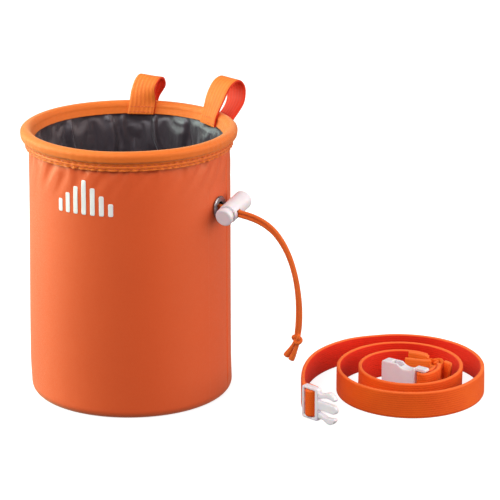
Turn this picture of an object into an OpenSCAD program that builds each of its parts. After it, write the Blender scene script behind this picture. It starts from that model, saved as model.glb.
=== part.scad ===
// Climbing chalk bag with a drawcord lock, and its waist belt lying coiled beside it.
// Millimetres. Origin at the centre of the bag's base on the floor, +Z up, -Y the printed front.

/* [Bag] */
// Outside radius of the fabric wall under the rim
bag_r = 55; // [50:0.5:60]
// Outside radius of the wall at its foot
foot_r = 55.8; // [55:0.1:60]
// Height of the centre of the rim roll
rim_z = 147.2; // [135:0.1:165]
// Thickness of the shell fabric with its backing
shell_t = 1.2; // [1:0.1:1.3]
// Radius of the rim roll
roll_r = 3.3; // [3.1:0.1:3.4]

/* [Drawcord] */
// Height of the eyelet's centre
eyelet_z = 111.2; // [110.5:0.1:112]
// Direction of the eyelet from the bag's axis, in degrees
eyelet_turn = 10; // [0:1:15]
// Diameter of the drawcord
cord_d = 2.1; // [1.8:0.1:2.1]
// Radius of the cord lock's barrel
lock_r = 5.25; // [5:0.05:5.5]
// Travel of the cord lock's button
button_travel = 2.4; // [1.5:0.1:2.4]

/* [Loops] */
// Width of the two webbing loops
loop_w = 15; // [10:0.1:15]
// Thickness of the webbing
webbing_t = 1.2; // [0.9:0.1:1.3]

/* [Belt] */
// Width of the belt webbing
belt_w = 15; // [14:0.5:15]
// Thickness of the belt's webbing
belt_t = 2; // [1.2:0.1:2]
// Distance of the coil's centre from the bag's axis
belt_away = 154; // [150:1:180]
// Direction of the coil from the bag's axis, in degrees
belt_turn = 37.5; // [36:0.5:39]
// Mean radius of the coil where its spiral starts
coil_r = 43.2; // [43:0.1:44]
// Distance between two turns of the coil
coil_pitch = 12.1; // [11.8:0.1:12.2]

/* [Buckle] */
// Height of the male half's frame
male_h = 18.5; // [18.5:0.1:19]
// Height of the female half
female_h = 19.4; // [19.4:0.1:20]

/* [Hidden] */
$fn = 72;

orange = "#e0561f";
orange_dark = "#c8431a";
grey = "#4a4750";
white = "#ece8ea";
steel = "#c9ccd0";

// Bag, worked out from the driving sizes
inner_r = bag_r - shell_t;            // inside of the shell
shell_top = rim_z - 2.7;
foot_round = 5;
mouth_r = foot_r - 8;                 // edge of the base opening in the turned-in foot
roll_c = bag_r + 1;                   // radius of the rim roll's centre line
roll_t = 0.8;                         // binding fabric
band_z = rim_z - 7.4;                 // lower edge of the binding outside
band_in_z = rim_z - 3.4;              // lower edge of the binding inside
band_out = bag_r + 1.5;
lining_out = inner_r - 0.15;
casing_low = eyelet_z - 5.2;
casing_high = eyelet_z + 4.8;
ring_r = bag_r - 2.9;                 // drawcord ring inside its casing
cord_r = cord_d / 2;
barrel_out = 4.1;                     // eyelet barrel
barrel_in = 3.25;

// Outside radius of the wall at height z
function wall_r(z) = foot_r + (bag_r - foot_r) * (z - foot_round) / (shell_top - foot_round);

// Plain helpers

function on_circle(c, r, a) = [c[0] + r * cos(a), c[1] + r * sin(a)];
function arc(c, r, a0, a1, n = 12) = [for (i = [0 : n]) on_circle(c, r, a0 + (a1 - a0) * i / n)];

// A smooth curve through a list of points, `per` steps between neighbours
function blend(a, b, c, d, u) =
    0.5 * ((2 * b) + (c - a) * u + (2 * a - 5 * b + 4 * c - d) * u * u + (3 * b - a - 3 * c + d) * u * u * u);
function curve(p, per = 4) = let (last = len(p) - 1)
    concat([for (i = [0 : last - 1], k = [0 : per - 1])
        blend(p[max(i - 1, 0)], p[i], p[i + 1], p[min(i + 2, last)], k / per)], [p[last]]);

// The outline of a strap of thickness t whose middle follows the points p
function heading(p, i) = let (d = p[min(i + 1, len(p) - 1)] - p[max(i - 1, 0)]) d / norm(d);
function side(p, i, off) = let (h = heading(p, i)) p[i] + off * [-h[1], h[0]];
function strap(p, t) = concat([for (i = [0 : len(p) - 1]) side(p, i, t / 2)],
                              [for (i = [len(p) - 1 : -1 : 0]) side(p, i, -t / 2)]);

// A round tube of radius r along the 3-D points p, with flat ends. u holds a direction square to the
// path at each point.
function unit(v) = v / norm(v);
function along(p, i) = unit(p[min(i + 1, len(p) - 1)] - p[max(i - 1, 0)]);
module sweep(p, u, r, sides) {
    n = len(p);
    rings = [for (i = [0 : n - 1], k = [0 : sides - 1]) let (w = cross(along(p, i), u[i]), a = 360 * k / sides)
        p[i] + r * (u[i] * cos(a) + w * sin(a))];
    walls = [for (i = [0 : n - 2], k = [0 : sides - 1]) let (j = (k + 1) % sides)
        [i * sides + k, (i + 1) * sides + k, (i + 1) * sides + j, i * sides + j]];
    first = [for (k = [0 : sides - 1]) k];
    last = [for (k = [sides - 1 : -1 : 0]) (n - 1) * sides + k];
    polyhedron(rings, concat(walls, [first], [last]));
}
module tube(p, r) { sweep(p, [for (i = [0 : len(p) - 1]) unit(cross(along(p, i), [0, 1, 0]))], r, 8); }
module wire(p, r) { sweep(p, [for (q = p) unit([q[0], q[1], 0])], r, 6); }

module ring_of(outline, turn = 360, $fn = 120) { rotate_extrude(angle = turn, $fn = $fn) polygon(outline); }
module at_turn(a) { rotate([0, 0, a]) children(); }
// Lays what is modelled along +Z out along +X, away from the bag's axis
module outward(from, z) { translate([from, 0, z]) rotate([0, 90, 0]) children(); }

// Bag body

module outer_shell() {
    outside = concat([[mouth_r, 0]], arc([foot_r - foot_round, foot_round], foot_round, -90, 0),
                     [[bag_r, shell_top]]);
    inside = concat([[inner_r, shell_top]],
                    arc([foot_r - foot_round, foot_round], foot_round - shell_t, 0, -90),
                    [[mouth_r, shell_t]]);
    color(orange) difference() {
        ring_of(concat(outside, inside));
        at_turn(eyelet_turn) outward(inner_r - 3, eyelet_z) cylinder(r = barrel_out + 0.15, h = 8);
    }
}

// The seam that closes the wall into a tube, a flat ridge beside the eyelet
seam_turn = 21;
seam_deg = 3;
seam_low = 7;
module side_seam() {
    seam_top = band_z - 0.6;
    color(orange_dark) at_turn(seam_turn - seam_deg / 2)
        ring_of([[wall_r(seam_low) + 0.02, seam_low], [wall_r(seam_low) + 0.6, seam_low],
                 [wall_r(seam_top) + 0.6, seam_top], [wall_r(seam_top) + 0.02, seam_top]], seam_deg, $fn = 360);
}

module base_panel() { color(orange_dark) cylinder(r = mouth_r - 0.2, h = shell_t, $fn = 120); }

// Bias tape folded over the top edge: a roll with a band down each side
module rim_binding() {
    c = [roll_c, rim_z];
    skin = concat([[band_out, band_z]], arc(c, roll_r, -72, 180, 20), [[inner_r - 2.2, band_in_z]]);
    hollow = concat([[inner_r - 1.4, band_in_z]], arc(c, roll_r - roll_t, 180, -80, 20),
                    [[band_out - roll_t, band_z]]);
    color(orange) ring_of(concat(skin, hollow));
}

// Two rows of thread round the outer band
stitch_n = 96;
stitch_l = 2.3;
module binding_stitches() {
    lean = (roll_c + roll_r * cos(72) - band_out) / (rim_z - roll_r * sin(72) - band_z);
    color(orange_dark) for (row = [1.3, 3.1], i = [0 : stitch_n - 1])
        at_turn(360 * i / stitch_n)
            translate([band_out + lean * (row + 0.45) + 0.01, -stitch_l / 2, band_z + row])
                cube([0.34, stitch_l, 0.45]);
}

module rim_stiffener() {
    color(white) rotate_extrude($fn = 120) translate([roll_c, rim_z]) circle(r = 2, $fn = 32);
}

// Linings: a plain skirt at the mouth, the drawcord's channel, then fleece down to the floor
module lining_skirt() {
    color(grey) ring_of([[lining_out - 0.6, casing_high + 0.3], [lining_out, casing_high + 0.3],
                         [lining_out, rim_z - 2.3], [lining_out - 0.6, rim_z - 2.3]]);
}

module drawcord_casing() {
    color(grey) difference() {
        ring_of([[ring_r - 2, casing_low], [lining_out, casing_low],
                 [lining_out, casing_high], [ring_r - 2, casing_high]]);
        ring_of([[ring_r - 1.4, eyelet_z - 1.5], [ring_r + 1.25, eyelet_z - 1.5],
                 [ring_r + 1.25, eyelet_z + 1.8], [ring_r - 1.4, eyelet_z + 1.8]]);
        at_turn(eyelet_turn) outward(ring_r, eyelet_z) cylinder(r = 5.05, h = 8);
    }
}

fleece_t = 2.2;
module fleece_wall() {
    color("#37343c") ring_of([[lining_out - fleece_t, 7], [lining_out, 7], [lining_out, casing_low - 0.3],
                              [lining_out - fleece_t, casing_low - 0.3]]);
}

module fleece_floor() { color("#37343c") translate([0, 0, shell_t + 0.2]) cylinder(r = foot_r - 5.4, h = 2.2); }

// A plain row of rising and falling bars printed on the front
mark_turn = -76;
mark_z = 124;
mark_bars = [7, 11, 15, 19, 15, 11, 7];
module printed_mark() {
    step_deg = 5.2;
    bar_deg = 2.8;
    low = mark_z - max(mark_bars) / 2;
    middle = (len(mark_bars) - 1) / 2;
    color("#f2ece8") for (i = [0 : len(mark_bars) - 1])
        at_turn(mark_turn + (i - middle) * step_deg - bar_deg / 2)
            ring_of([[wall_r(low) + 0.03, low], [wall_r(low) + 0.18, low],
                     [wall_r(low) + 0.18, low + mark_bars[i]], [wall_r(low) + 0.03, low + mark_bars[i]]],
                    bar_deg, $fn = 360);
}

// Webbing loops, sewn inside and outside the rim. Each path is radius and height. Above the rim a loop
// turns by its skew and drifts sideways by its lean.
left_turn = 121.8;
left_skew = -25;
left_lean = 9.5;
right_turn = 69.5;
right_skew = 10;
left_path = [[50.3, 143.6], [51.3, 147.4], [52.2, 151], [53.2, 156.5], [54.9, 161.2], [58.4, 163.6],
             [62.4, 162.3], [65.2, 157.5], [65.3, 151.5], [62.6, 146.6], [59, 143], [57.6, 139.6]];
right_path = [[50.1, 143.6], [51.2, 148.5], [54.4, 157], [58.4, 163.6], [62.3, 166.8], [66.5, 167.4],
              [69.7, 164.6], [70.7, 160.2], [69.3, 155.2], [65.2, 150], [61.2, 145.4], [58, 139.6]];
function rise(z) = let (t = min(max((z - rim_z - 1.8) / 11, 0), 1)) t * t * (3 - 2 * t);
function loop_point(q, y, skew, lean) = let (x = q[0] - roll_c, a = skew * rise(q[1]))
    [roll_c + x * cos(a) - y * sin(a), x * sin(a) + y * cos(a) - (q[1] - rim_z) * tan(lean), q[1]];
module loop_strap(path, skew = 0, lean = 0) {
    p = curve(path, 4);
    last = 4 * (len(p) - 1);
    corners = [for (i = [0 : len(p) - 1], c = [[1, 1], [-1, 1], [-1, -1], [1, -1]])
        loop_point(side(p, i, c[0] * webbing_t / 2), c[1] * loop_w / 2, skew, lean)];
    low = [for (i = [0 : 4 : last - 4], k = [0 : 3]) [i + k, i + (k + 1) % 4, i + 4 + (k + 1) % 4]];
    high = [for (i = [0 : 4 : last - 4], k = [0 : 3]) [i + k, i + 4 + (k + 1) % 4, i + 4 + k]];
    polyhedron(corners, concat(low, high, [[3, 2, 1, 0], [last, last + 1, last + 2, last + 3]]));
}
module loop_left() { color(orange) at_turn(left_turn) loop_strap(left_path, left_skew, left_lean); }
module loop_right() { color(orange) at_turn(right_turn) loop_strap(right_path, right_skew); }

// One row of thread across the inner leg of each loop
module thread_row(r, z) {
    for (i = [-2 : 2]) translate([r - 0.3, i * 2.5 - 0.9, z]) cube([0.32, 1.8, 0.45]);
}
module loop_stitches() {
    color(orange_dark) at_turn(left_turn) thread_row(50.0, 145.5);
    color(orange_dark) at_turn(right_turn) thread_row(49.7, 145.5);
}

// Eyelet: rolled flange and barrel through the wall, held by a washer inside

module eyelet() {
    flange = concat([[barrel_in, 0.05]], arc([barrel_in + 0.5, 0.9], 0.5, 180, 90, 4),
                    arc([5.8, 0.65], 0.6, 80, -60, 6));
    color(steel) at_turn(eyelet_turn) outward(wall_r(eyelet_z), eyelet_z) union() {
        rotate_extrude($fn = 64) polygon(flange);
        translate([0, 0, -2.1]) difference() {
            cylinder(r = barrel_out, h = 2.3);
            translate([0, 0, -1]) cylinder(r = barrel_in, h = 5);
        }
    }
}

module eyelet_washer() {
    color(steel) at_turn(eyelet_turn) outward(wall_r(eyelet_z) - 2.05, eyelet_z) difference() {
        cylinder(r = 4.9, h = 0.4);
        translate([0, 0, -1]) cylinder(r = barrel_out + 0.05, h = 3);
    }
}

// Drawcord: a ring inside the casing, then two strands side by side out of the eyelet, straight
// through the lock and down to the knot. Route points are the distance from the axis and the height.
cord_route = [[52.1, 111.61], [58, 110.78], [64, 109.93], [70, 109.08], [74, 108.51], [79, 107.3], [84.5, 105],
              [89.5, 101.5], [94, 96.3], [97.5, 90.4], [100.2, 83.8], [102.2, 76.5], [103.4, 69.5],
              [104, 63], [104.1, 57], [103.9, 51.5], [103.4, 47.2]];
tail_route = [[103.2, 43.8], [102.2, 40.6], [101, 38], [99.5, 35.1], [98, 32.4]];
strand_gap = 1.1;                     // half the distance between the two strands
tail_gap = 1.75;
free_from = 4;                        // the strands twist about each other after this route point
twist = 35;

// A strand lies s0 to s1 above the route, or in front of it where the route hangs down
function strand(route, s0, s1, ease = 0) = let (n = len(route) - 1) [for (i = [0 : n])
    let (s = s0 + (s1 - s0) * i / n, a = ease * pow(sin(180 * max(0, (i - free_from) / (n - free_from))), 2),
         h = heading(route, i))
    [route[i][0] - s * h[1] * cos(a), -s * sin(a), route[i][1] + s * h[0] * cos(a)]];

module drawcord_ring() {
    gap_deg = 2.65;
    color(orange) at_turn(eyelet_turn + gap_deg) translate([0, 0, 111.4])
        rotate_extrude(angle = 360 - 2 * gap_deg, $fn = 120)
            translate([ring_r, 0]) circle(r = cord_r, $fn = 24);
}

module cord_strand(s) { color(orange) at_turn(eyelet_turn) tube(strand(cord_route, s, s, twist), cord_r); }
module drawcord_strand_a() { cord_strand(strand_gap); }
module drawcord_strand_b() { cord_strand(-strand_gap); }

// Overhand knot in both strands, with the two cut ends below it
module drawcord_knot() {
    color(orange) at_turn(eyelet_turn) union() {
        hull() {
            translate([103.6, 0, 45]) rotate([90, 0, 0]) cylinder(r = 2.1, h = 5.6, center = true, $fn = 24);
            translate([102.6, 0, 42.4]) rotate([90, 0, 0]) cylinder(r = 2.1, h = 5.2, center = true, $fn = 24);
        }
        tube(strand(tail_route, cord_r * 0.7, tail_gap), cord_r);
        tube(strand(tail_route, -cord_r * 0.7, -tail_gap), cord_r);
    }
}

// Cord lock. Its slide follows the straight start of the cord; its barrel lies across the cord.
slope = atan((cord_route[0][1] - cord_route[4][1]) / (cord_route[4][0] - cord_route[0][0]));
lock_x = 62.7;
lock_z = cord_route[0][1] - (lock_x - cord_route[0][0]) * tan(slope);
lock_lean = 13;
bore_r = 4.15;
plunger_r = 4.0;
mouth_a = -3.6;                       // mouth of the barrel, measured along it from the cords
barrel_end = 15;
slot_w = cord_d + 0.8;
slot_h = 2 * strand_gap + cord_d + 0.3;

// Local frame of the lock: +Z along the barrel away from the button, +X along the cord
module lock_frame() {
    at_turn(eyelet_turn) translate([lock_x, 0, lock_z]) rotate([0, slope, 0]) rotate([lock_lean, 0, 0])
        rotate([-90, 0, 0]) children();
}
// A rounded slot for the pair of cords, a0 to a1 along the barrel
module cord_slot(a0, a1, reach) {
    translate([-reach, -slot_h / 2, a0]) cube([2 * reach, slot_h, a1 - a0]);
}

module cord_lock_body() {
    round_r = 1.6;
    outline = concat([[0, mouth_a], [lock_r, mouth_a]],
                     arc([lock_r - round_r, barrel_end - round_r], round_r, 0, 90, 6), [[0, barrel_end]]);
    color(white) lock_frame() difference() {
        rotate_extrude($fn = 64) polygon(outline);
        translate([0, 0, mouth_a - 1]) cylinder(r = bore_r, h = barrel_end - 1.8 - mouth_a + 1);
        cord_slot(-slot_w / 2 - 0.35, slot_w / 2 + 0.35, 10);
    }
}

module cord_lock_button() {
    head_low = mouth_a - button_travel - 2.6;
    head = concat([[0, head_low]], arc([lock_r - 1.35, head_low + 1.1], 1.1, -90, 0, 6),
                  [[lock_r - 0.25, head_low + 2.5], [0, head_low + 2.5]]);
    color(white) lock_frame() difference() {
        union() {
            rotate_extrude($fn = 64) polygon(head);
            translate([0, 0, head_low + 2]) cylinder(r = plunger_r, h = 5.6 - head_low - 2);
        }
        cord_slot(-slot_w / 2 - button_travel, slot_w / 2, 10);
    }
}

module cord_lock_spring() {
    turns = 3.5;
    per_turn = 14;
    low = 8.4;
    high = barrel_end - 2.6;
    helix = [for (i = [0 : turns * per_turn]) let (a = 360 * i / per_turn)
        [2.9 * cos(a), 2.9 * sin(a), low + 0.5 + (high - low - 1) * i / (turns * per_turn)]];
    color(steel) lock_frame() wire(helix, 0.4);
}
// Belt. Local frame: origin at the coil's centre, +X away from the bag, +Z up.

module belt_frame() { at_turn(belt_turn) translate([belt_away, -6, 0]) children(); }
module strap_wall(path, low = 0, per = 4) {
    translate([0, 0, low]) linear_extrude(belt_w) polygon(strap(curve(path, per), belt_t));
}

// The spiral, k turns in from where it starts, running clockwise from the top
coil_start = -0.3;
coil_end = 1.86;
coil_steps = 58;
function coil(k) = let (r = coil_r - coil_pitch * k, a = -360 * k)
    [-1.7 + r * cos(a), -2 + 1.11 * r * sin(a)];
coil_path = [for (i = [0 : coil_steps]) coil(coil_start + (coil_end - coil_start) * i / coil_steps)];
lead_path = [[-59.1, -36], [-59.1, -30], [-58.9, -22], [-58.4, -12], [-57.3, -2], [-54.8, 9],
             [-50.2, 20.5], [-43.4, 30.8], [-35.1, 39.1], [-26.7, 44.2]];

module belt_webbing() {
    color(orange) belt_frame() strap_wall(concat(lead_path, coil_path), per = 2);
}

// From the female half to the knot
module belt_inner_strap() {
    color(orange) belt_frame() strap_wall([[16.7, -8.4], [17.1, -5.4], [17.15, -2.4], [17, 0.7]]);
}

module belt_knot() {
    color(orange_dark) belt_frame() hull() {
        translate([16.6, 3.6, 1]) cylinder(r = 2.6, h = 13, $fn = 32);
        translate([17.2, 8, 0.5]) cylinder(r = 3.6, h = 14.2, $fn = 32);
        translate([14.6, 10.6, 1]) cylinder(r = 2.4, h = 13, $fn = 32);
    }
}
module belt_end_back() {
    color(orange) belt_frame() strap_wall([[11.6, 12.5], [8.4, 15.3], [5, 17.5], [1.4, 18.8]]);
}
module belt_end_front() {
    color(orange) belt_frame() strap_wall([[12.9, 5], [8.6, 5.3], [3.6, 6.7], [-1.2, 8.4]]);
}
module belt_end_side() {
    color(orange) belt_frame() strap_wall([[20.6, 4], [22, 2.4], [23.4, 0]]);
}

// Male half. Local frame: +X out of the frame along the prongs, +Y its hidden face, base on the floor.

male_t = 3.5;
male_mid = male_h / 2;
frame_half = 5.75;
bar_x = -0.4;
bar_r = 1.1;
male_turn = -45;
module male_frame_at() { belt_frame() translate([-54.6, -46.6, 0]) at_turn(male_turn) children(); }

module rounded_plate(x0, x1, z0, z1, t, r = 1.2) {
    rotate([90, 0, 0]) linear_extrude(t, center = true) hull()
        for (x = [x0 + r, x1 - r], z = [z0 + r, z1 - r]) translate([x, z]) circle(r = r, $fn = 32);
}

guide_end = 17.5;
module buckle_male_frame() {
    color(white) male_frame_at() union() {
        difference() {
            rounded_plate(-frame_half, frame_half, 0, male_h, male_t);
            translate([-4.4, -5, 1.5]) cube([8, 10, male_h - 3]);
        }
        translate([bar_x, 0, 1]) cylinder(r = bar_r, h = male_h - 2, $fn = 32);
        translate([frame_half - 1, -1.3, male_mid - 2.5]) cube([guide_end - frame_half, 2.6, 5]);
        translate([guide_end - 1, 0, male_mid]) rotate([90, 0, 0]) cylinder(r = 2.5, h = 2.6, center = true);
    }
}

// A prong springs inward about its root; `up` is 1 for the upper one and -1 for the lower one
module male_arm(up) {
    outline = [[6.1, 4.0], [6.1, 7.0], [9.5, 7.4], [12.2, 8.6], [14.2, 9.2], [16.6, 8.0], [18.2, 6.0],
               [17.6, 4.8], [15, 5.4], [12, 5.6], [9, 4.8]];
    color(white) male_frame_at() translate([0, 0, male_mid]) rotate([90, 0, 0])
        linear_extrude(3, center = true) polygon([for (p = outline) [p[0], up * p[1]]]);
}
module male_arm_upper() { male_arm(1); }
module male_arm_lower() { male_arm(-1); }

// The webbing's end, over the bar and back behind the frame
module male_wrap() {
    path = [[-9.4, 3.9], [-7.2, 3.35], [-5, 2.95], [-3.3, 2], [-2.7, -0.3], [-1.9, -1.75], [-0.4, -2.3],
            [1, -1.8], [1.8, -0.5], [1.95, 1.6], [1.2, 3.7], [-0.9, 5], [-3.6, 5.3], [-7.4, 5.7]];
    color(orange) male_frame_at() strap_wall(path, low = (male_h - belt_w) / 2);
}

// Female half. Local frame: +X from its mouth to its bar, base on the floor.

female_t = 6.4;
socket_t = 4.5;
rail_w = 2;
body_l = 22;
female_l = 28.3;
female_bar = 25.6;
module female_at() { belt_frame() translate([-13.2, -4.8, 0]) at_turn(-belt_turn) children(); }

module buckle_female() {
    waist_x = 15.9;
    waist_r = 8;
    waist_in = 2.3;
    middle = female_h / 2;
    color(white) female_at() difference() {
        union() {
            rounded_plate(0, body_l, 0, female_h, female_t);
            for (z = [0, female_h - rail_w]) rounded_plate(body_l - 3, female_l, z, z + rail_w, 4.2, 0.99);
            translate([female_bar, 0, 1]) cylinder(r = 1.3, h = female_h - 2, $fn = 32);
        }
        for (up = [-1, 1]) translate([waist_x, 0, middle + up * (middle + waist_r - waist_in)])
            rotate([90, 0, 0]) cylinder(r = waist_r, h = 20, center = true, $fn = 96);
        translate([-1, -socket_t / 2, rail_w]) cube([13, socket_t, female_h - 2 * rail_w]);
        translate([-1, -socket_t / 2, middle - 3.2]) cube([18, socket_t, 6.4]);
        for (z = [-1, female_h - rail_w - 1])
            translate([5.5, -socket_t / 2, z]) cube([6.5, socket_t, rail_w + 2]);
    }
}

// The strap's sewn eye round the bar
module female_wrap() {
    eye = [[16.6, -9.8], [15.9, -13], [14.2, -16.6], [11.6, -20], [9, -22.2], [6.9, -22.95], [5.05, -21.9],
           [4.6, -20.1], [5.45, -18.5], [7.3, -17.8], [9.4, -17.5], [11.5, -15.7], [13, -13], [13.9, -11]];
    color(orange) belt_frame() strap_wall(eye, low = (female_h - belt_w) / 2);
}

outer_shell();
side_seam();
base_panel();
rim_binding();
binding_stitches();
rim_stiffener();
lining_skirt();
drawcord_casing();
fleece_wall();
fleece_floor();
printed_mark();
loop_left();
loop_right();
loop_stitches();
eyelet();
eyelet_washer();
drawcord_ring();
drawcord_strand_a();
drawcord_strand_b();
drawcord_knot();
cord_lock_body();
cord_lock_button();
cord_lock_spring();
belt_webbing();
belt_inner_strap();
belt_knot();
belt_end_back();
belt_end_front();
belt_end_side();
buckle_male_frame();
male_arm_upper();
male_arm_lower();
male_wrap();
buckle_female();
female_wrap();
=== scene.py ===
"""Looks of the chalk bag and its coiled waist belt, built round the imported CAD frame. Metres, row frame."""
from contextlib import contextmanager
from math import cos, pi, radians, sin, sqrt, tan

import bmesh
import bpy
import numpy as np
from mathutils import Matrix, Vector


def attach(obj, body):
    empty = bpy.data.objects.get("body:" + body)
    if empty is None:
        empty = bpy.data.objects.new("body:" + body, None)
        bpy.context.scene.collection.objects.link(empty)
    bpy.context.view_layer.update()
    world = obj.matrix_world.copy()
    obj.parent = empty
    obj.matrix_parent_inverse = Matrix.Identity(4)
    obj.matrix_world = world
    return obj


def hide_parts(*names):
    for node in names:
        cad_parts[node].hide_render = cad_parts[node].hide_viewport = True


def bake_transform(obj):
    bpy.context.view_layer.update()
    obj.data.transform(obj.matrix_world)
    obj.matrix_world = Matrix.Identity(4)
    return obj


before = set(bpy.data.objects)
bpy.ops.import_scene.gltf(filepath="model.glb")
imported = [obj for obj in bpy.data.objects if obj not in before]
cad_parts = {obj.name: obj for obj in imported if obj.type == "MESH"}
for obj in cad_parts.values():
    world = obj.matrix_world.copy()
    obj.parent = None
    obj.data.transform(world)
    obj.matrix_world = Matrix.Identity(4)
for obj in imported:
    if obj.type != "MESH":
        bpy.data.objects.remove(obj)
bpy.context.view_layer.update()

MM = 0.001
scene = bpy.context.scene

# ---- sizes shared with part.scad, in mm
BAG_R, FOOT_R, SHELL_T, FOOT_ROUND = 55.0, 55.8, 1.2, 5.0
RIM_Z, ROLL_R, ROLL_C = 147.2, 3.3, 56.0
SHELL_TOP = RIM_Z - 2.7
BAND_OUT, BAND_Z, BAND_IN_Z = 56.5, RIM_Z - 7.4, RIM_Z - 3.4
INNER_R = BAG_R - SHELL_T
LINING_R, LINING_T = INNER_R - 0.15, 0.3
EYELET_Z, EYELET_TURN, EYELET_HOLE_R = 111.2, 10.0, 4.7
RING_R = BAG_R - 2.9
MOUTH_R = FOOT_R - 8
CORD_D, STRAND_GAP, TAIL_GAP = 2.1, 1.1, 1.75
WEBBING_T, LOOP_W = 1.2, 15.0
BELT_T, BELT_W = 2.0, 15.0
BELT_TURN, BELT_AWAY = 37.5, 154.0
MALE_H, FEMALE_H = 18.5, 19.4
SEAM_TURN = 21.0
SHELL_THREAD = 0.45

# ---- camera
CAM_TURN, CAM_DROP = 37.5, 17.2975
CAM_SIDE, CAM_BACK, CAM_HIGH, CAM_LENS = 65.97, 1400.0, 515.13, 191.17


def turned(x, y, degrees):
    """x and y turned anticlockwise about the origin."""
    c, s = cos(radians(degrees)), sin(radians(degrees))
    return x * c - y * s, x * s + y * c


def link(name, data):
    obj = bpy.data.objects.new(name, data)
    scene.collection.objects.link(obj)
    return obj


def make_camera():
    data = bpy.data.cameras.new("camera")
    data.lens, data.sensor_width = CAM_LENS, 36
    data.clip_start, data.clip_end = 0.05, 20
    camera = link("camera", data)
    x, y = turned(CAM_SIDE, -CAM_BACK, CAM_TURN)
    camera.location = Vector((x, y, CAM_HIGH)) * MM
    camera.rotation_euler = (radians(90 - CAM_DROP), 0, radians(CAM_TURN))
    scene.camera = camera


make_camera()


# ---- plain helpers
def smooth_curve(points, per):
    """A Catmull-Rom curve through the points, per steps between neighbours."""
    p = np.array(points, float)
    last = len(p) - 1
    out = []
    for i in range(last):
        a, b, c, d = p[max(i - 1, 0)], p[i], p[i + 1], p[min(i + 2, last)]
        for k in range(per):
            u = k / per
            out.append(0.5 * (2 * b + (c - a) * u + (2 * a - 5 * b + 4 * c - d) * u * u
                              + (3 * b - a - 3 * c + d) * u ** 3))
    out.append(p[last])
    return np.array(out)


def circle(count):
    """Angles spread evenly round a full turn."""
    return np.linspace(0, 2 * pi, count, endpoint=False)


def run_along(points):
    """How far along a line each of its points lies."""
    return np.concatenate([[0], np.cumsum(np.linalg.norm(np.diff(points, axis=0), axis=1))])


def length_of(points):
    return float(np.linalg.norm(np.diff(points, axis=0), axis=1).sum())


def headings(points):
    """A line's direction at each of its points."""
    ahead = np.gradient(points, axis=0)
    return ahead / np.linalg.norm(ahead, axis=1)[:, None]


def even_curve(points, step):
    """The same curve with its points a fixed step apart."""
    fine = smooth_curve(points, 24)
    run = run_along(fine)
    count = max(2, int(round(run[-1] / step)) + 1)
    at = np.linspace(0, run[-1], count)
    return np.stack([np.interp(at, run, fine[:, k]) for k in range(fine.shape[1])], axis=1)


def fade(x, low, high):
    """0 below low, 1 above high, smooth between."""
    t = np.clip((x - low) / (high - low), 0, 1)
    return t * t * (3 - 2 * t)


def bell(x, middle, wide):
    """A smooth bump, 1 at its middle."""
    return np.exp(-((x - middle) / wide) ** 2)


def wrapped(degrees):
    """The same angle from -180 to 180 degrees."""
    return (degrees + 180) % 360 - 180


def ripples(seed, count, round_range, up_range):
    """A smooth field on a tube: a function of the angle in radians and the height in mm, about -1 to 1.
    The ranges are those of its waves round the tube and for each mm up it."""
    rng = np.random.default_rng(seed)
    rounds = rng.integers(round_range[0], round_range[1] + 1, count)
    ups = rng.uniform(up_range[0], up_range[1], count) * rng.choice([-1, 1], count)
    phases = rng.uniform(0, 2 * pi, count)

    def field(angle, height):
        total = 0
        for r, u, p in zip(rounds, ups, phases):
            total = total + np.sin(r * angle + 2 * pi * u * height + p)
        return total / sqrt(count / 2) / 2
    return field


@contextmanager
def editing(mesh):
    """The mesh as a bmesh, written back at the end."""
    b = bmesh.new()
    b.from_mesh(mesh)
    yield b
    b.to_mesh(mesh)
    b.free()


def mesh_object(name, verts, faces, uvs=None, solid=True):
    """A smooth-shaded object. verts are in mm; uvs, in mm, hold one point for each vertex. A solid's
    faces are turned outwards."""
    mesh = bpy.data.meshes.new(name)
    mesh.from_pydata([tuple(v) for v in np.asarray(verts) * MM], [], [tuple(f) for f in faces])
    if uvs is not None:
        layer = mesh.uv_layers.new(name="weave")
        index = np.empty(len(mesh.loops), np.int32)
        mesh.loops.foreach_get("vertex_index", index)
        layer.data.foreach_set("uv", np.asarray(uvs, np.float32)[index].ravel())
    if solid:
        with editing(mesh) as b:
            bmesh.ops.recalc_face_normals(b, faces=b.faces)
    mesh.shade_smooth()
    mesh.validate()
    return link(name, mesh)


def grid_faces(rows, columns, wrap_columns=False, wrap_rows=False):
    """Quads over a grid of rows x columns vertices."""
    faces = []
    for i in range(rows if wrap_rows else rows - 1):
        for j in range(columns if wrap_columns else columns - 1):
            i2, j2 = (i + 1) % rows, (j + 1) % columns
            faces.append((i * columns + j, i * columns + j2, i2 * columns + j2, i2 * columns + j))
    return faces


def grid_map(rows, columns):
    """The weave map of a grid: one value for each row, one for each column."""
    return np.stack(np.meshgrid(rows, columns, indexing="ij"), axis=-1).reshape(-1, 2)


def add_modifier(obj, kind, **settings):
    modifier = obj.modifiers.new(kind.lower(), kind)
    for key, value in settings.items():
        setattr(modifier, key, value)


def bake_modifiers(obj):
    """The object's mesh with its modifiers applied."""
    evaluated = obj.evaluated_get(bpy.context.evaluated_depsgraph_get())
    made = bpy.data.meshes.new_from_object(evaluated)
    obj.modifiers.clear()
    obj.data = made
    obj.data.shade_smooth()
    return obj


def thicken(obj, thickness, offset=0):
    """Turns a sheet into cloth of this thickness in mm; offset -1 adds it all behind the sheet."""
    add_modifier(obj, "SOLIDIFY", thickness=thickness * MM, offset=offset)
    return bake_modifiers(obj)


def finish_piece(obj, body, material, *replaced, slot=None):
    """Gives a piece its material and hides the nodes it replaces. slot is not used. A piece that blends has
    no one body."""
    obj.data.materials.clear()
    obj.data.materials.append(MATERIALS[material])
    if body:
        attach(obj, body)
    if replaced:
        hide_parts(*replaced)
    return obj


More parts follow.
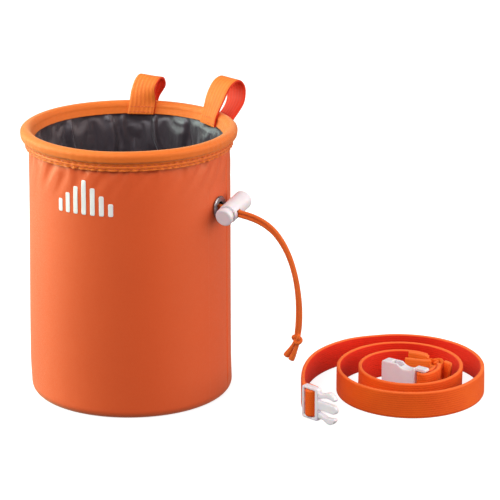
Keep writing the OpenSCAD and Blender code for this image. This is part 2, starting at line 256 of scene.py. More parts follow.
# ---- materials
class Nodes:
    """Short names for building a node tree. A colour is given as three values."""

    def __init__(self, name):
        self.material = bpy.data.materials.new(name)
        self.material.use_nodes = True
        self.tree = self.material.node_tree
        self.shader = self.tree.nodes["Principled BSDF"]

    def add(self, kind, inputs=(), **settings):
        node = self.tree.nodes.new(kind)
        for key, value in settings.items():
            setattr(node, key, value)
        for key, value in dict(inputs).items():
            self.put(node, key, value)
        return node

    def put(self, node, key, value):
        if isinstance(value, bpy.types.NodeSocket):
            self.tree.links.new(value, node.inputs[key])
        elif value is not None:
            node.inputs[key].default_value = (*value, 1) if isinstance(value, tuple) else value

    def math(self, operation, a, b=0.0):
        return self.add("ShaderNodeMath", {0: a, 1: b}, operation=operation).outputs[0]

    def mix(self, factor, a, b):
        return self.add("ShaderNodeMix", {0: factor, 6: a, 7: b}, data_type="RGBA").outputs[2]

    def mix_values(self, factor, a, b):
        return self.add("ShaderNodeMix", {0: factor, 2: a, 3: b}, data_type="FLOAT").outputs[0]

    def noise(self, scale, detail=3.0, roughness=0.55):
        place = self.add("ShaderNodeTexCoord").outputs["Object"]
        inputs = {"Vector": place, "Scale": scale, "Detail": detail, "Roughness": roughness}
        return self.add("ShaderNodeTexNoise", inputs).outputs["Fac"]

    def ramp(self, value, low, high, a=0.0, b=1.0):
        """Maps low to a and high to b."""
        return self.add("ShaderNodeMapRange", {0: value, 1: low, 2: high, 3: a, 4: b}).outputs[0]

    def bump(self, height, distance, strength=1.0, normal=None):
        inputs = {"Height": height, "Distance": distance, "Strength": strength, "Normal": normal}
        return self.add("ShaderNodeBump", inputs).outputs[0]

    def weave_uv(self):
        """The weave map's two coordinates, in mm."""
        uv = self.add("ShaderNodeUVMap", uv_map="weave").outputs[0]
        parts = self.add("ShaderNodeSeparateXYZ", {0: uv})
        return parts.outputs[0], parts.outputs[1]

    def wave(self, value, pitch, shift=0.0):
        """0 to 1 along value with the given pitch."""
        turns = self.math("MULTIPLY_ADD", value, 2 * pi / pitch)
        turns.node.inputs[2].default_value = shift
        return self.ramp(self.math("SINE", turns), -1, 1)

    def surface(self, color, roughness, normal=None, **sockets):
        """Sets the shader's inputs, whose names have a _ for each space."""
        for key, value in dict(Base_Color=color, Roughness=roughness, Normal=normal, **sockets).items():
            self.put(self.shader, key.replace("_", " "), value)
        return self.material


def darker(color, share):
    return tuple(c * share for c in color)


def plain_weave(n, u, v, pitch):
    """Height of a plain weave: warp and weft cross over and under in turn."""
    warp = n.wave(u, pitch)
    weft = n.wave(v, pitch)
    check_u = n.wave(u, 2 * pitch)
    check_v = n.wave(v, 2 * pitch, pi / 2)
    over = n.math("GREATER_THAN", n.math("MULTIPLY", n.math("SUBTRACT", check_u, 0.5),
                                         n.math("SUBTRACT", check_v, 0.5)), 0.0)
    return n.mix_values(over, warp, weft)


def woven(name, color, dark, pitch, depth, rough, sheen, specular, tint, nap=0.4):
    """Woven fabric with a thread pattern on the weave map, faded patches, painted shade where the threads dip
    and soft sheen. pitch and depth are the threads' spacing and relief in mm."""
    n = Nodes(name)
    u, v = n.weave_uv()
    threads = plain_weave(n, u, v, pitch)
    slub = n.noise(900, 2)
    base = n.mix(n.ramp(n.noise(28, 4), 0.35, 0.7, 0.0, 0.25), color, dark)
    # painted shade where the threads dip
    base = n.mix(n.ramp(threads, 0.0, 0.5, 0.22, 0.0), base, darker(dark, 0.55))
    roughness = n.ramp(slub, 0.3, 0.7, rough - 0.06, rough + 0.08)
    height = n.math("ADD", threads, n.math("MULTIPLY", slub, 0.5))
    normal = n.bump(height, depth * MM)
    normal = n.bump(n.noise(120, 3), 0.25 * MM, 0.25, normal)
    return n.surface(base, roughness, normal, Sheen_Weight=sheen, Sheen_Roughness=nap, Sheen_Tint=tint,
                     Specular_IOR_Level=specular, Specular_Tint=tint)


def webbing_material(name, face, back_painted_light, edge, pitch=1.25):
    """Ribbed webbing whose face, back and upper edge each take their own colour. The back's colour is painted
    light: a deep red back is painted shade, and an upper edge lighter than the face is a painted highlight.
    Cords run along its length, crossed by picks. On the weave map the back starts 2 mm after the face's
    width."""
    n = Nodes(name)
    u, v = n.weave_uv()
    pick_pitch = 0.8
    cords = n.wave(v, pitch)
    picks = n.wave(u, pick_pitch)
    stagger = n.wave(u, pick_pitch, pi)
    over = n.wave(v, 2 * pitch)
    weave = n.mix_values(over, picks, stagger)
    height = n.math("ADD", n.math("MULTIPLY", cords, 0.7), n.math("MULTIPLY", weave, 0.6))
    slub = n.noise(700, 2)
    # the back's own colour is painted light: deep red here is painted shade in the belt and loop webbing
    painted_back_mask = n.ramp(v, BELT_W + 1.2, BELT_W + 1.8)
    base = n.mix(painted_back_mask, face, back_painted_light)
    base = n.mix(n.ramp(n.noise(40, 3), 0.35, 0.7, 0.0, 0.3), base, darker(back_painted_light, 0.8))
    # painted shade where the weave dips
    base = n.mix(n.ramp(height, 0.0, 0.7, 0.30, 0.0), base, darker(back_painted_light, 0.55))
    # painted highlight: the strap's upper edge is made lighter than its faces
    from_lit_top_edge = n.math("ABSOLUTE", n.math("SUBTRACT", v, BELT_W + 1))
    base = n.mix(n.ramp(from_lit_top_edge, 1.1, 1.8, 0.85, 0.0), base, edge)
    normal = n.bump(n.math("ADD", height, n.math("MULTIPLY", slub, 0.4)), 0.12 * MM)
    return n.surface(base, n.ramp(slub, 0.3, 0.7, 0.55, 0.7), normal, Sheen_Weight=0.12,
                     Sheen_Roughness=0.4, Sheen_Tint=(1, 0.6, 0.3), Specular_IOR_Level=0.22)


def braid_material():
    """Braided cord: strands crossing in two slants, with painted shade in the grooves between them."""
    n = Nodes("cord_braid")
    u, v = n.weave_uv()
    strand_pitch = 0.9
    left = n.wave(n.math("ADD", u, v), strand_pitch)
    right = n.wave(n.math("SUBTRACT", u, v), strand_pitch)
    height = n.math("MAXIMUM", left, right)
    slub = n.noise(1100, 2)
    # painted shade: the braid's low grooves are darker
    base = n.mix(n.ramp(height, 0.45, 0.9, 0.55, 0.0), (0.98, 0.170, 0.014), (0.56, 0.05, 0.006))
    normal = n.bump(n.math("ADD", height, n.math("MULTIPLY", slub, 0.3)), 0.16 * MM)
    return n.surface(base, n.ramp(slub, 0.3, 0.7, 0.5, 0.66), normal, Sheen_Weight=0.12,
                     Sheen_Roughness=0.5, Specular_IOR_Level=0.25)


def fleece_material():
    """Short pile in clumps, with painted shade between them."""
    n = Nodes("fleece_pile")
    fine = n.noise(1500, 4, 0.7)
    clumps = n.noise(260, 4, 0.6)
    height = n.math("ADD", fine, n.math("MULTIPLY", clumps, 1.4))
    # painted shade between the clumps: the lower pile is darker
    base = n.mix(n.ramp(clumps, 0.35, 0.65), (0.035, 0.032, 0.038), (0.085, 0.078, 0.088))
    return n.surface(base, 0.92, n.bump(height, 0.5 * MM), Sheen_Weight=0.7, Sheen_Roughness=0.55)


def thread_material():
    """Twisted sewing thread."""
    n = Nodes("sewing_thread")
    twist = n.noise(2600, 2)
    base = n.mix(n.ramp(twist, 0.3, 0.7), (0.84, 0.12, 0.014), (0.60, 0.07, 0.010))
    return n.surface(base, 0.5, n.bump(twist, 0.05 * MM), Sheen_Weight=0.25, Sheen_Roughness=0.4)


def plastic_material():
    """Moulded white acetal, a little translucent, with a fine cast texture and faint scuffs."""
    n = Nodes("white_acetal")
    grain = n.noise(1800, 3)
    flow = n.noise(90, 3)
    scuff = n.noise(420, 6, 0.75)
    base = n.mix(n.ramp(flow, 0.3, 0.7), (0.88, 0.83, 0.88), (0.82, 0.77, 0.82))
    rough = n.math("ADD", n.ramp(scuff, 0.45, 0.75, 0.28, 0.46), n.ramp(grain, 0.3, 0.7, 0.0, 0.05))
    normal = n.bump(grain, 0.03 * MM, 0.5)
    normal = n.bump(flow, 0.2 * MM, 0.12, normal)
    return n.surface(base, rough, normal, Subsurface_Weight=0.22, Subsurface_Scale=0.0015,
                     Specular_IOR_Level=0.5, Coat_Weight=0.1, Coat_Roughness=0.2)


def metal_material(name, color, low, high):
    """Metal with fine scratches; low and high are its roughness where it is least and most worn."""
    n = Nodes(name)
    scratch = n.noise(2400, 5, 0.8)
    cloud = n.noise(200, 3)
    base = n.mix(n.ramp(cloud, 0.3, 0.7), color, darker(color, 0.86))
    roughness = n.ramp(scratch, 0.35, 0.7, low, high)
    return n.surface(base, roughness, n.bump(scratch, 0.01 * MM, 0.4), Metallic=1.0)


def print_material():
    """Screen-printed ink: the cloth's threads show through, with tiny pinholes."""
    n = Nodes("screen_print")
    u, v = n.weave_uv()
    threads = plain_weave(n, u, v, SHELL_THREAD)
    holes = n.noise(1600, 2)
    base = n.mix(n.ramp(holes, 0.70, 0.78), (0.88, 0.85, 0.83), (0.85, 0.45, 0.32))
    return n.surface(base, 0.55, n.bump(threads, 0.03 * MM), Specular_IOR_Level=0.4)


MATERIALS = {
    "shell": woven("shell_nylon", (0.80, 0.080, 0.008), (0.72, 0.064, 0.007), SHELL_THREAD, 0.03,
                   rough=0.56, sheen=0.3, specular=0.9, tint=(1.0, 0.95, 0.6)),
    "binding": woven("binding_tape", (0.92, 0.18, 0.016), (0.80, 0.122, 0.012), 0.5, 0.06,
                     rough=0.55, sheen=0.4, specular=0.6, tint=(1.0, 0.85, 0.5)),
    "lining": woven("grey_lining", (0.062, 0.049, 0.060), (0.026, 0.019, 0.025), 0.4, 0.03,
                    rough=0.40, sheen=1.0, specular=1.0, tint=(0.95, 0.92, 1.0), nap=0.25),
    # the belt's deep red back is painted shade
    "webbing": webbing_material("belt_webbing_shaded_back", (0.96, 0.130, 0.006), (0.88, 0.024, 0.005),
                                (1.0, 0.18, 0.035)),
    # a lit copy of the belt webbing for its ends and knot wraps: a brighter face and a back as bright as the
    # face, painted light
    "webbing_lit_copy": webbing_material("belt_end_weave_lit_copy", (0.97, 0.17, 0.012), (0.97, 0.15, 0.012),
                                      (1.0, 0.2, 0.04)),
    # the loops' deep red back is painted shade
    "loop_webbing": webbing_material("loop_webbing_shaded_back", (0.87, 0.205, 0.024), (0.84, 0.043, 0.012),
                                     (0.97, 0.24, 0.04), 2.35),
    "cord": braid_material(),
    "fleece": fleece_material(),
    "thread": thread_material(),
    "plastic": plastic_material(),
    "nickel": metal_material("nickel_plate", (0.42, 0.41, 0.43), 0.08, 0.20),
    "steel": metal_material("spring_wire", (0.62, 0.62, 0.64), 0.2, 0.34),
    "print": print_material(),
}


# ---- turned cloth
def revolve(name, profile, count, shift=None, closed=False):
    """A surface of revolution. profile holds radius and height in mm; shift(angle, place, radius, height)
    gives how far each vertex moves in radius and height."""
    rows = np.array(profile, float)
    angle, place = np.meshgrid(circle(count), run_along(rows), indexing="ij")
    radius, height = (np.broadcast_to(rows[:, k], angle.shape).copy() for k in (0, 1))
    if shift is not None:
        d_radius, d_height = shift(angle, place, radius, height)
        radius, height = radius + d_radius, height + d_height
    verts = np.stack([radius * np.cos(angle), radius * np.sin(angle), height], axis=-1).reshape(-1, 3)
    faces = [f[::-1] for f in grid_faces(count, len(rows), wrap_columns=closed, wrap_rows=True)]
    uvs = grid_map(circle(count) * rows[:, 0].mean(), run_along(rows))
    return mesh_object(name, verts, faces, uvs, solid=closed)


def arc(centre, radius, start, end, count):
    """Points of an arc between two angles in degrees."""
    a = np.radians(np.linspace(start, end, count))
    return np.stack([centre[0] + radius * np.cos(a), centre[1] + radius * np.sin(a)], axis=1).tolist()


def line(a, b, count):
    """Points from a to b without the last."""
    t = np.linspace(0, 1, count, endpoint=False)[:, None]
    return (np.array(a) * (1 - t) + np.array(b) * t).tolist()


# The shell wall's shape, which the print follows
broad = ripples(11, 9, (1, 4), (0.0, 0.006))
gather = ripples(12, 14, (30, 64), (0.0, 0.01))
pucker = ripples(13, 12, (16, 34), (0.0, 0.03))
PUCKER_SLANT = 0.010
PUFFY_AT = ((-96, 16), (3, 14))  # where the puckers are deepest: direction and spread in degrees
EYELET_FLAT = 9  # how far the cloth lies flat round the eyelet, in mm and in degrees


def wall_shift(angle, height):
    """How far the shell's wall stands off its plain shape, in mm of radius."""
    turn = np.degrees(angle)
    below = BAND_Z - height
    near_top = np.exp(-np.clip(below, 0, None) / 3.6)
    low_top = np.exp(-np.clip(below, 0, None) / 6.5)
    slack = 0.45 * broad(angle, height) * fade(height, 0, 20) * fade(SHELL_TOP - height, 0, 8)
    puffy = 1 + 1.2 * sum(bell(wrapped(turn), at, wide) for at, wide in PUFFY_AT)
    puckers = np.clip(pucker(angle + PUCKER_SLANT * below, height), -0.3, 1)
    tucks = -0.60 * near_top * (1 + 0.9 * gather(angle, height)) - 1.05 * puffy * low_top * puckers
    past_seam = wrapped(turn - SEAM_TURN)
    ridge = 0.55 * bell(past_seam, 0.9, 0.9) - 0.35 * bell(past_seam, -0.4, 0.35)
    seam = ridge * fade(height, 3, 12) * fade(SHELL_TOP - height, 3, 6)
    at_eyelet = np.exp(-(wrapped(turn - EYELET_TURN) / EYELET_FLAT) ** 2
                       - ((height - EYELET_Z) / EYELET_FLAT) ** 2)
    return (slack + tucks + seam) * (1 - at_eyelet)


def wall_radius(height):
    """The shell's plain outer radius, a cone above its rounded foot."""
    return FOOT_R + (BAG_R - FOOT_R) * (height - FOOT_ROUND) / (SHELL_TOP - FOOT_ROUND)


def make_shell():
    profile = line((MOUTH_R, 0), (FOOT_R - FOOT_ROUND, 0), 6)
    profile += arc((FOOT_R - FOOT_ROUND, FOOT_ROUND), FOOT_ROUND, -90, 0, 12)[:-1]
    profile += line((FOOT_R, FOOT_ROUND), (BAG_R, SHELL_TOP), 130) + [[BAG_R, SHELL_TOP]]

    def shift(angle, place, radius, height):
        return wall_shift(angle, height) * fade(height, 0.5, 8), 0 * height

    shell = revolve("shell_cloth", profile, 540, shift)
    centre = Vector((*turned(BAG_R, 0, EYELET_TURN), EYELET_Z)) * MM
    outward = Vector((*turned(1, 0, EYELET_TURN), 0))
    with editing(shell.data) as b:
        hole = []
        for face in b.faces:
            away = face.calc_center_median() - centre
            near_side = away.dot(outward) > -10 * MM
            if near_side and (away - outward * away.dot(outward)).length < EYELET_HOLE_R * MM:
                hole.append(face)
        bmesh.ops.delete(b, geom=hole, context="FACES")
    thicken(shell, 0.7, offset=-1)
    finish_piece(shell, "bag", "shell", "outer_shell", "side_seam")


make_shell()


def make_base():
    rings, pinhole = 26, 0.02
    profile = [[MOUTH_R * k / rings + pinhole, SHELL_T] for k in range(rings + 1)]
    under = [[r, 0.0] for r, _ in reversed(profile)]
    field = ripples(21, 8, (2, 9), (0, 0.01))

    def shift(angle, place, radius, height):
        rise = 0.25 * (1 - (radius / MOUTH_R) ** 2) * (1 + 0.6 * field(angle, radius))
        return 0 * radius, rise

    base = revolve("base_cloth", profile + under, 160, shift, closed=True)
    finish_piece(base, "bag", "shell", "base_panel", slot="shell_dark")


make_base()

# The bias tape over the rim has creases that run round it: how far along its profile, how wide, how high
rim_wave = ripples(31, 10, (2, 7), (0, 0.0))
rim_pucker = ripples(32, 16, (46, 96), (0, 0.02))
RIM_CREASES = ((0.9, 0.6, -0.30), (2.9, 0.45, -0.34), (2.0, 0.5, 0.16), (4.6, 0.6, -0.34),
               (6.0, 0.8, 0.22), (8.0, 0.9, -0.16), (10.4, 1.0, 0.14))
RIM_SKIN = 26.0  # the outer side's length along the profile


def make_binding():
    c = (ROLL_C, RIM_Z)
    inside = INNER_R - 2.2
    outer = line((BAND_OUT, BAND_Z), (BAND_OUT + 0.5, BAND_Z + 4.26), 14)
    outer += arc(c, ROLL_R, -72, 180, 56)
    outer += line((INNER_R - 1.2, RIM_Z - 0.4), (inside, BAND_IN_Z), 8) + [[inside, BAND_IN_Z]]
    inner = [[INNER_R - 1.35, BAND_IN_Z]] + arc(c, ROLL_R - 0.8, 180, -80, 24) + [[BAND_OUT - 0.75, BAND_Z]]

    def shift(angle, place, radius, height):
        skin = (place < RIM_SKIN) * 1.0
        ruffle = rim_pucker(angle, height)
        creases = sum(high * bell(place, at, wide) for at, wide, high in RIM_CREASES)
        gathers = (0.14 * bell(place, 1.0, 1.4) + 0.10 * bell(place, 4.6, 1.5) + 0.05) * ruffle
        hem = 0.35 * fade(1.6 - place, 0, 1.6) * ruffle
        outwards = creases + gathers + hem + 0.12 * rim_wave(angle, height)
        return skin * outwards, skin * 0.14 * rim_wave(angle + 1.3, height)

    binding = revolve("rim_tape", outer + inner, 900, shift, closed=True)
    finish_piece(binding, "bag", "binding", "rim_binding")


make_binding()


def stitch_mesh(name, stitches, length, radius):
    """Short rounded stitches, each a bent bead along its line, standing a little out of the cloth. Each is
    given by its centre, the way it runs and the way it faces."""
    verts, faces = [], []
    sides, rings = 6, 7
    for centre, forward, out in stitches:
        across = np.cross(out, forward)
        start = len(verts)
        for i in range(rings):
            t = i / (rings - 1) * 2 - 1
            swell = radius * sqrt(max(1 - t ** 4, 0.02))
            middle = centre + forward * (t * length / 2) + out * (radius * (0.35 - 0.75 * t * t))
            for k in range(sides):
                a = 2 * pi * k / sides
                verts.append(middle + swell * (cos(a) * across + sin(a) * out))
        faces += [tuple(start + k for k in face) for face in grid_faces(rings, sides, wrap_columns=True)]
        faces.append(tuple(start + k for k in reversed(range(sides))))
        faces.append(tuple(start + (rings - 1) * sides + k for k in range(sides)))
    return mesh_object(name, verts, faces)


def make_binding_stitches():
    """Two rows of stitches on the binding's sloping band."""
    top = (ROLL_C + ROLL_R * cos(radians(72)), RIM_Z - ROLL_R * sin(radians(72)))
    lean = (top[0] - BAND_OUT) / (top[1] - BAND_Z)
    stitches = []
    count, sunk = 96, 0.05
    for row, start in ((1.3, 0.0), (3.1, 0.5)):
        for i in range(count):
            a = 2 * pi * (i + start) / count
            out = np.array([cos(a), sin(a), 0])
            centre = out * (BAND_OUT + lean * row - sunk) + np.array([0, 0, BAND_Z + row])
            stitches.append((centre, np.array([-sin(a), cos(a), 0]), out))
    obj = stitch_mesh("rim_stitches", stitches, 2.4, 0.24)
    finish_piece(obj, "bag", "thread", "binding_stitches")


make_binding_stitches()


# ---- lining
def relax_cloth(points, low_r, high_r, passes, sway, grow_round, grow_up, seed):
    """Lets a ring of cloth with spare length buckle into folds. points is [round, up, 3]. The lowest and
    highest rings stay put, and every point stays between two radii. Returns the new points."""
    inertia, stiff, stiff_slant, soft_round, soft_up, rounds = 0.92, 0.9, 0.35, 0.10, 0.06, 3
    rng = np.random.default_rng(seed)
    p = points.copy()
    n, m = p.shape[:2]
    rest_round = np.linalg.norm(np.roll(p, -1, 0) - p, axis=2) * grow_round
    rest_up = np.linalg.norm(p[:, 1:] - p[:, :-1], axis=2) * grow_up
    rest_slant = np.linalg.norm(np.roll(p, -1, 0)[:, 1:] - p[:, :-1], axis=2) * (grow_round + grow_up) / 2
    radial = p * np.array([1, 1, 0]) / np.linalg.norm(p[:, :, :2], axis=2)[:, :, None]
    p += radial * (sway(circle(n)[:, None], p[:, :, 2]) * 1.5 - 1.0)[:, :, None]
    p[:, 1:-1] += rng.normal(0, 0.05, (n, m - 2, 3))
    before = p.copy()
    fixed_low, fixed_high = points[:, 0].copy(), points[:, -1].copy()

    def pull(a, b, rest, stiffness):
        """Moves two sets of points towards their rest distance."""
        d = p[b] - p[a]
        size = np.linalg.norm(d, axis=-1, keepdims=True) + 1e-9
        step = stiffness * 0.5 * d * (1 - rest[..., None] / size)
        p[a] += step
        p[b] -= step

    def halves(count):
        """Every other index, then the rest, so that no point is pulled twice at once."""
        return [np.arange(start, count, 2) for start in (0, 1)]

    for _ in range(passes):
        moved = p + inertia * (p - before)
        before = p.copy()
        p = moved
        for _ in range(rounds):
            for i in halves(n):
                pull((i,), ((i + 1) % n,), rest_round[i], stiff)
            for i in halves(m - 1):
                pull(np.s_[:, i], np.s_[:, i + 1], rest_up[:, i], stiff)
            for i in halves(n):
                for low, high in ((np.s_[:-1], np.s_[1:]), (np.s_[1:], np.s_[:-1])):
                    pull((i, low), ((i + 1) % n, high), rest_slant[i], stiff_slant)
            p += soft_round * ((np.roll(p, 1, 0) + np.roll(p, -1, 0)) / 2 - p)
            p[:, 1:-1] += soft_up * ((p[:, 2:] + p[:, :-2]) / 2 - p[:, 1:-1])
            r = np.linalg.norm(p[:, :, :2], axis=2)
            factor = np.clip(r, low_r, high_r) / r
            p[:, :, :2] *= factor[:, :, None]
            p[:, 0], p[:, -1] = fixed_low, fixed_high
    return p


# Folds of the lining: where each starts, crests and ends going clockwise in degrees, its height in mm, how
# many degrees it drifts clockwise over the way down, and how far up the wall it starts
rng_folds = np.random.default_rng(45)
FOLDS = [(146.5, 141.5, 138.5, 1.7, 1.0, 0.0), (135.0, 132.5, 129.5, 1.5, -2.0, 0.45),
         (174.0, 169.5, 167.0, 2.2, 3.0, 0.0), (118.0, 115.0, 113.0, 2.4, 8.0, 0.0),
         (107.0, 94.0, 91.0, 2.4, 1.0, 0.0), (90.5, 68.0, 60.0, 3.2, -1.0, 0.0)]
for _ in range(16):
    begin, wide = rng_folds.uniform(180, 415), rng_folds.uniform(6, 16)
    crest = begin - wide * rng_folds.uniform(0.35, 0.75)
    FOLDS.append((begin, crest, begin - wide, rng_folds.uniform(1.0, 2.6), rng_folds.uniform(-6, 6),
                  rng_folds.choice([0.0, 0.0, 0.35])))


def fold_depth(angle, t):
    """How far the folds stand in from the wall, in mm. t runs from 0 at the casing to 1 at the rim."""
    total = 0 * angle
    for start, crest, end, tall, drift, low in FOLDS:
        sway = 1.3 * np.sin(5.5 * t + start)
        past = wrapped(start - drift * (1 - t) + sway - np.degrees(angle))
        ridge = fade(past, 0, start - crest) * (1 - fade(past, start - crest, start - end))
        total = total + tall * ridge * fade(t, low - 0.15, low + 0.15) * (1 - fade(t, 1 - 0.14, 1))
    return total


def make_lining():
    n, m = 560, 40
    low, high = EYELET_Z + 3.8, RIM_Z - 3.2
    least_r, most_r = 44.5, LINING_R - 0.5
    passes = 110
    angle = circle(n)
    gathers = ripples(41, 8, (34, 60), (0, 0))
    top_waves = ripples(42, 8, (26, 50), (0, 0))
    points = np.zeros((n, m, 3))
    for j in range(m):
        t = j / (m - 1)
        waves = (1 - t) ** 2 * 0.9 * gathers(angle, 0) + t ** 3 * 0.25 * top_waves(angle, 0)
        r = RING_R + (LINING_R - 0.35 - RING_R) * fade(t, 0.0, 0.35) - 0.8 + waves * 0.8
        z = np.full(n, low + (high - low) * t)
        points[:, j] = np.stack([r * np.cos(angle), r * np.sin(angle), z], axis=1)
    sway = ripples(43, 12, (7, 22), (0.0, 0.03))
    folded = relax_cloth(points, least_r, most_r, passes, sway, grow_round=1.055, grow_up=1.03, seed=44)
    rows = np.linspace(0, 1, m)[None, :]
    across = np.arctan2(folded[:, :, 1], folded[:, :, 0])
    r = np.linalg.norm(folded[:, :, :2], axis=2)
    wanted = np.clip(r * 0.85 + (LINING_R - 0.7) * 0.15 - fold_depth(across, rows), least_r, most_r)
    blend = fade(rows, 0.0, 0.12) * (1 - fade(rows, 0.93, 1.0))
    folded[:, :, :2] *= (1 + (wanted / r - 1) * blend)[:, :, None]
    uvs = grid_map(np.linspace(0, 2 * pi * LINING_R, n, endpoint=False), np.linspace(0, high - low, m))
    faces = grid_faces(n, m, wrap_rows=True)
    obj = mesh_object("lining_cloth", folded.reshape(-1, 3), faces, uvs, solid=False)
    add_modifier(obj, "SUBSURF", levels=1, render_levels=1)
    thicken(obj, LINING_T)
    finish_piece(obj, "bag", "lining", "lining_skirt")


make_lining()


def make_casing():
    c = (RING_R - 0.3, EYELET_Z)
    gathers = ripples(51, 10, (36, 70), (0, 0.01))
    profile = line((LINING_R, EYELET_Z - 5), (RING_R - 0.6, EYELET_Z - 4.2), 4)
    profile += arc(c, 2.0, -110, -250, 18)
    profile += line((RING_R - 0.6, EYELET_Z + 3.6), (LINING_R - 0.2, EYELET_Z + 4.6), 4)

    def shift(angle, place, radius, height):
        return 0.45 * gathers(angle, height) * bell(height, EYELET_Z, 3.5) - 0.1, 0 * radius

    obj = revolve("casing_cloth", profile, 560, shift)
    thicken(obj, LINING_T)
    finish_piece(obj, "bag", "lining", "drawcord_casing")


make_casing()


def make_fleece():
    outer, inner, bottom, top = LINING_R - 0.2, LINING_R - 2.2, 4, EYELET_Z - 5.6
    folds = ripples(61, 9, (3, 9), (0.0, 0.01))
    tufts = ripples(62, 40, (60, 150), (0.05, 0.35))
    profile = line((outer, bottom), (outer, top), 4) + line((outer, top), (inner, EYELET_Z - 6.4), 2)
    profile += line((inner, EYELET_Z - 6.4), (inner, bottom), 150) + [[inner, bottom]]

    def shift(angle, place, radius, height):
        inside = fade(LINING_R - radius, 0.8, 2.0)
        return inside * (-0.35 - 0.35 * folds(angle, height) - 0.28 * tufts(angle, height)), 0 * radius

    wall = revolve("fleece_wall_pile", profile, 420, shift, closed=True)
    finish_piece(wall, "bag", "fleece", "fleece_wall")
    rings, pinhole, floor_low, floor_top = 70, 0.05, 1.6, 3.4
    floor_r = FOOT_R - 4
    pile = [[pinhole + floor_r * k / rings, floor_top] for k in range(rings + 1)]
    under = [[floor_r, floor_low], [pinhole, floor_low]]

    def floor_shift(angle, place, radius, height):
        tuft = 0.16 * tufts(angle * 0.7, radius * 1.3) - 0.5 * fade(radius, floor_r - 3, floor_r)
        return 0 * radius, (height > 3) * tuft

    floor = revolve("fleece_floor_pile", pile + under, 300, floor_shift, closed=True)
    finish_piece(floor, "bag", "fleece", "fleece_floor")


make_fleece()


# ---- straps
def strap_mesh(name, path, low, width, thickness, step=1.0, wave=None, lift=None):
    """A flat strap standing on edge. path holds x and y in mm; low is its lower edge's height.
    wave(run, across) gives how far the strap's face moves sideways, lift(run) how far it moves up."""
    p = even_curve(path, step)
    run = run_along(p)
    heading = headings(p)
    normal = np.stack([-heading[:, 1], heading[:, 0]], axis=1)
    # cross-section: up one face, over the rounded edge, down the other, under
    half, edge = thickness / 2, 0.25 + thickness * 0.16
    across = np.linspace(edge, width - edge, 15)
    section = [(half, a) for a in across]
    section += [(half * 0.75, width - edge * 0.3), (0, width), (-half * 0.75, width - edge * 0.3)]
    section += [(-half, a) for a in across[::-1]]
    section += [(-half * 0.75, edge * 0.3), (0, 0), (half * 0.75, edge * 0.3)]
    section = np.array(section)
    n, m = len(p), len(section)
    off = section[:, 0][None, :] * np.ones((n, 1))
    if wave is not None:
        off = off + wave(run[:, None], section[:, 1][None, :])
    z = low + section[:, 1][None, :] * np.ones((n, 1))
    if lift is not None:
        z = z + lift(run)[:, None]
    x, y = (p[:, k][:, None] + normal[:, k][:, None] * off for k in (0, 1))
    verts = np.stack([x, y, z], axis=-1).reshape(-1, 3)
    faces = grid_faces(n, m, wrap_columns=True)
    faces.append(tuple(range(m)))
    faces.append(tuple((n - 1) * m + k for k in reversed(range(m))))
    # on the map one face runs from 0 to the width, the other from the width + 2 to twice the width + 2
    one_face = len(across)
    girth = section[:, 1].copy()
    girth[one_face:one_face + 3] = width + np.array([0.5, 1.0, 1.5])
    girth[one_face + 3:] = 2 * width + 2 - girth[one_face + 3:]
    return mesh_object(name, verts, faces, grid_map(run, girth))


def place_mesh(obj, transform):
    """Moves the mesh itself; transform takes and gives mm."""
    co = np.empty(len(obj.data.vertices) * 3)
    obj.data.vertices.foreach_get("co", co)
    moved = transform(co.reshape(-1, 3) / MM) * MM
    obj.data.vertices.foreach_set("co", moved.ravel())
    obj.data.update()
    return obj


def turn_points(points, degrees):
    x, y = turned(points[:, 0], points[:, 1], degrees)
    return np.stack([x, y, points[:, 2]], axis=1)


def belt_frame(points):
    """The belt's own coordinates to the bag's, both in mm."""
    return turn_points(points + np.array([BELT_AWAY, -6, 0]), BELT_TURN)


# Webbing loops, each path radius and height. Above the rim a loop turns by its skew and drifts by its lean.
LOOPS = {
    "left": {"turn": 121.8, "skew": -25.0, "lean": 9.5, "seed": 71, "path": [
        (50.3, 143.6), (51.3, 147.4), (52.2, 151), (53.2, 156.5), (54.9, 161.2), (58.4, 163.6),
        (62.4, 162.3), (65.2, 157.5), (65.3, 151.5), (62.6, 146.6), (59, 143), (57.6, 139.6)]},
    "right": {"turn": 69.5, "skew": 10.0, "lean": 0.0, "seed": 72, "path": [
        (50.1, 143.6), (51.2, 148.5), (54.4, 157), (58.4, 163.6), (62.3, 166.8), (66.5, 167.4),
        (69.7, 164.6), (70.7, 160.2), (69.3, 155.2), (65.2, 150), (61.2, 145.4), (58, 139.6)]},
}


def place_loop(points, loop):
    """Strap coordinates (radius, height, across) to the bag's own."""
    x, y, z = points[:, 0] - ROLL_C, points[:, 2] - LOOP_W / 2, points[:, 1]
    a = np.radians(loop["skew"] * fade(z, RIM_Z + 1.8, RIM_Z + 12.8))
    c, s = np.cos(a), np.sin(a)
    drift = (z - RIM_Z) * tan(radians(loop["lean"]))
    return turn_points(np.stack([ROLL_C + x * c - y * s, x * s + y * c - drift, z], axis=1), loop["turn"])


def make_loops():
    for side, loop in LOOPS.items():
        a, b = np.random.default_rng(loop["seed"]).uniform(0, 6, 2)
        obj = strap_mesh(f"{side}_loop_strap", loop["path"], 0, LOOP_W, WEBBING_T, 0.7,
                         lambda run, across: 0.10 * np.sin(run / 4.2 + a) * np.sin(across / 3.1 + b))
        place_mesh(obj, lambda points: place_loop(points, loop))
        finish_piece(obj, "bag", "loop_webbing", f"loop_{side}", slot="webbing")


make_loops()


